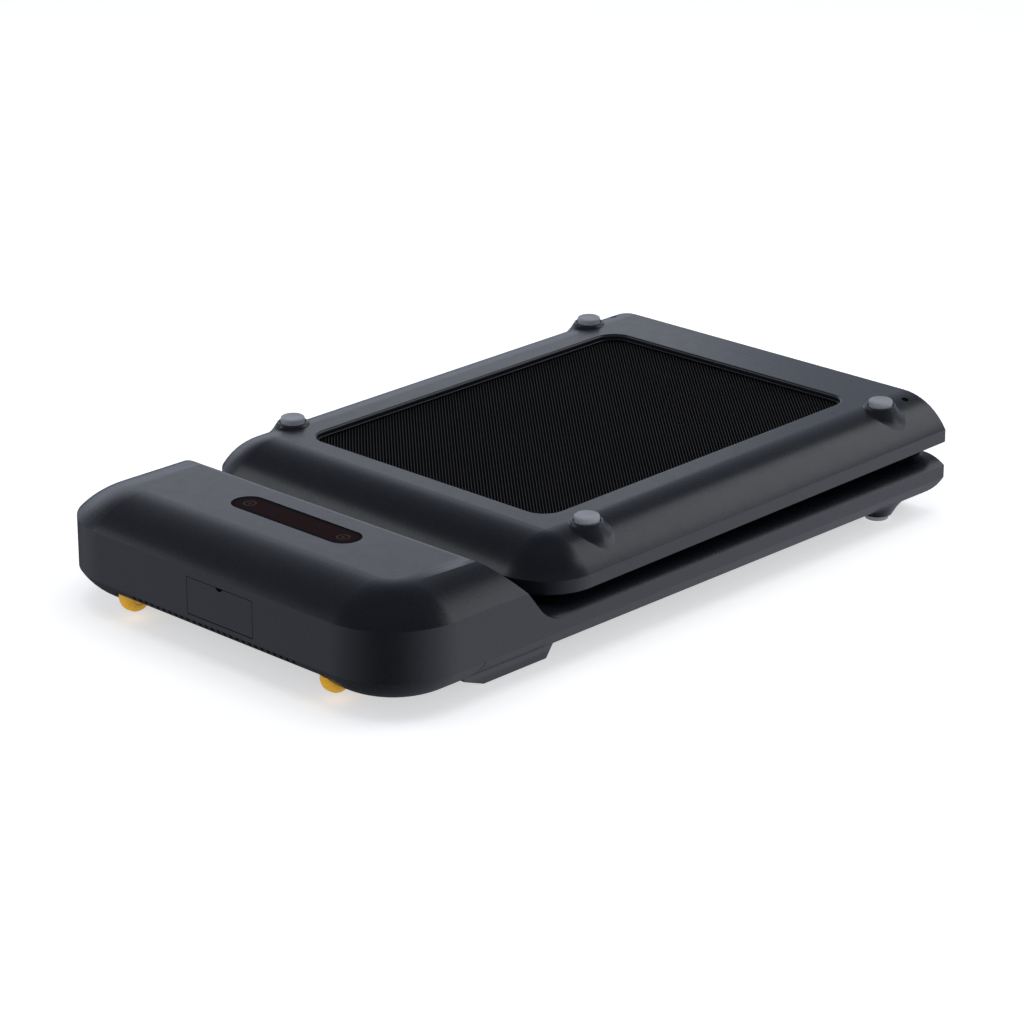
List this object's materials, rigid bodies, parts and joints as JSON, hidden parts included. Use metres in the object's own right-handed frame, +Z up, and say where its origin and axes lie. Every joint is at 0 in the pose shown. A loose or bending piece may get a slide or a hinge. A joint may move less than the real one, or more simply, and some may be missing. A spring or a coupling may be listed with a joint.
{
  "type": "walking pad",
  "caption": "Low walking pad that folds in half at a hinge, with a console housing, display strip, power hatch, belt deck and transport wheels.",
  "frame": {"origin": "on the floor under the centre of the folded pad's bounding box", "axes": "+X to the right seen from the console's front, +Y from the console to the hinge, +Z up"},
  "size_m": [0.51, 0.847, 0.1364],
  "materials": {
    "shell": "satin dark graphite moulding with a fine grain",
    "belt": "near-black belt with fine slanting ribs",
    "foot_rubber": "light grey matt rubber",
    "skid_rubber": "dark grey matt rubber",
    "lens": "dark red-brown smoked window",
    "wheel": "yellow moulding",
    "board": "green circuit board",
    "black_plastic": "black moulding",
    "rocker": "black switch key",
    "frame_paint": "black powder coat",
    "steel": "turned or zinc-plated steel",
    "roller_plastic": "grey guide roller",
    "aluminium": "bare aluminium",
    "deck_wood": "laminated deck board",
    "damper_rubber": "black rubber"
  },
  "bodies": {
    "front_half": {"console_top_cover": "shell", "console_shell": "shell", "belly_pan": "shell", "display_lens": "lens", "display_board": "board", "inlet_recess": "black_plastic", "power_inlet": "black_plastic", "controller_board": "board", "heat_sink": "aluminium", "motor_can": "frame_paint", "motor_saddle": "frame_paint", "front_bottom_cover": "shell", "front_rail_left": "shell", "front_rail_right": "shell", "front_side_tubes": "frame_paint", "front_cross_members": "frame_paint", "front_deck": "deck_wood", "front_deck_dampers": "damper_rubber", "bearing_blocks": "frame_paint", "drive_bearings": "steel", "belt_front": "belt", "belt_fold": "belt", "ribbed_belt": "damper_rubber", "hinge_forks": "frame_paint", "hinge_pins": "steel", "front_feet": "foot_rubber", "front_skids": "skid_rubber", "front_guide_axles": "steel", "wheel_axles": "steel", "front_cover_screws": "steel"},
    "rear_half": {"rear_bottom_cover": "shell", "rear_rail_left": "shell", "rear_rail_right": "shell", "tail_cover": "shell", "rear_side_tubes": "frame_paint", "rear_cross_members": "frame_paint", "rear_deck": "deck_wood", "rear_deck_dampers": "damper_rubber", "belt_rear": "belt", "tail_axle": "steel", "tension_bolts": "steel", "hinge_tongues": "frame_paint", "rear_feet": "foot_rubber", "rear_guide_axles": "steel", "rear_cover_screws": "steel", "fold_bumpers": "damper_rubber"},
    "hatch": {"hatch": "shell"},
    "rocker": {"power_rocker": "rocker"},
    "wheel_left": {"wheel_left": "wheel"},
    "wheel_right": {"wheel_right": "wheel"},
    "drive": {"drive_roller": "steel", "drive_pulley": "aluminium"},
    "motor_shaft": {"motor_rotor": "steel", "motor_pulley": "aluminium"},
    "front_snub": {"front_snub_roller": "roller_plastic"},
    "front_fold": {"front_fold_roller": "roller_plastic"},
    "tail": {"tail_roller": "steel", "tail_bearings": "steel"},
    "rear_snub": {"rear_snub_roller": "roller_plastic"},
    "rear_fold": {"rear_fold_roller": "roller_plastic"}
  },
  "joints": [
    {"name": "fold", "type": "hinge", "parent": "front_half", "child": "rear_half", "pos_m": [0, 0.4165, 0.0685], "axis": [-1, 0, 0], "range_deg": [0, 180.7], "deforming": ["belt_fold"]},
    {"name": "hatch_swing", "type": "hinge", "parent": "front_half", "child": "hatch", "pos_m": [0.014, -0.4195, 0.0498], "axis": [1, 0, 0], "range_deg": [0, 90]},
    {"name": "rocker_tip", "type": "hinge", "parent": "front_half", "child": "rocker", "pos_m": [0.038, -0.3905, 0.0655], "axis": [1, 0, 0], "range_deg": [0, 16]},
    {"name": "wheel_left_roll", "type": "hinge", "parent": "front_half", "child": "wheel_left", "pos_m": [-0.148, -0.3935, 0.0267], "axis": [1, 0, 0], "continuous": true},
    {"name": "wheel_right_roll", "type": "hinge", "parent": "front_half", "child": "wheel_right", "pos_m": [0.148, -0.3935, 0.0267], "axis": [1, 0, 0], "continuous": true},
    {"name": "drive_spin", "type": "hinge", "parent": "front_half", "child": "drive", "pos_m": [0, -0.2385, 0.0396], "axis": [1, 0, 0], "continuous": true},
    {"name": "motor_spin", "type": "hinge", "parent": "front_half", "child": "motor_shaft", "pos_m": [0, -0.3315, 0.067], "axis": [1, 0, 0], "continuous": true},
    {"name": "front_snub_spin", "type": "hinge", "parent": "front_half", "child": "front_snub", "pos_m": [0, 0.365, 0.0281], "axis": [1, 0, 0], "continuous": true},
    {"name": "front_fold_spin", "type": "hinge", "parent": "front_half", "child": "front_fold", "pos_m": [0, 0.3855, 0.0353], "axis": [1, 0, 0], "continuous": true},
    {"name": "tail_spin", "type": "hinge", "parent": "rear_half", "child": "tail", "pos_m": [0, -0.16381, 0.09031], "axis": [1, 0, 0], "continuous": true},
    {"name": "rear_snub_spin", "type": "hinge", "parent": "rear_half", "child": "rear_snub", "pos_m": [0, 0.36451, 0.10827], "axis": [1, 0, 0], "continuous": true},
    {"name": "rear_fold_spin", "type": "hinge", "parent": "rear_half", "child": "rear_fold", "pos_m": [0, 0.3851, 0.10132], "axis": [1, 0, 0], "continuous": true}
  ],
  "couplings": [
    {"joint": "motor_spin", "follows": "drive_spin", "ratio": 1.8},
    {"joint": "tail_spin", "follows": "drive_spin", "ratio": 1},
    {"joint": "front_snub_spin", "follows": "drive_spin", "ratio": 2.2778},
    {"joint": "front_fold_spin", "follows": "drive_spin", "ratio": -2.2778},
    {"joint": "rear_snub_spin", "follows": "drive_spin", "ratio": 2.2778},
    {"joint": "rear_fold_spin", "follows": "drive_spin", "ratio": -2.2778}
  ]
}
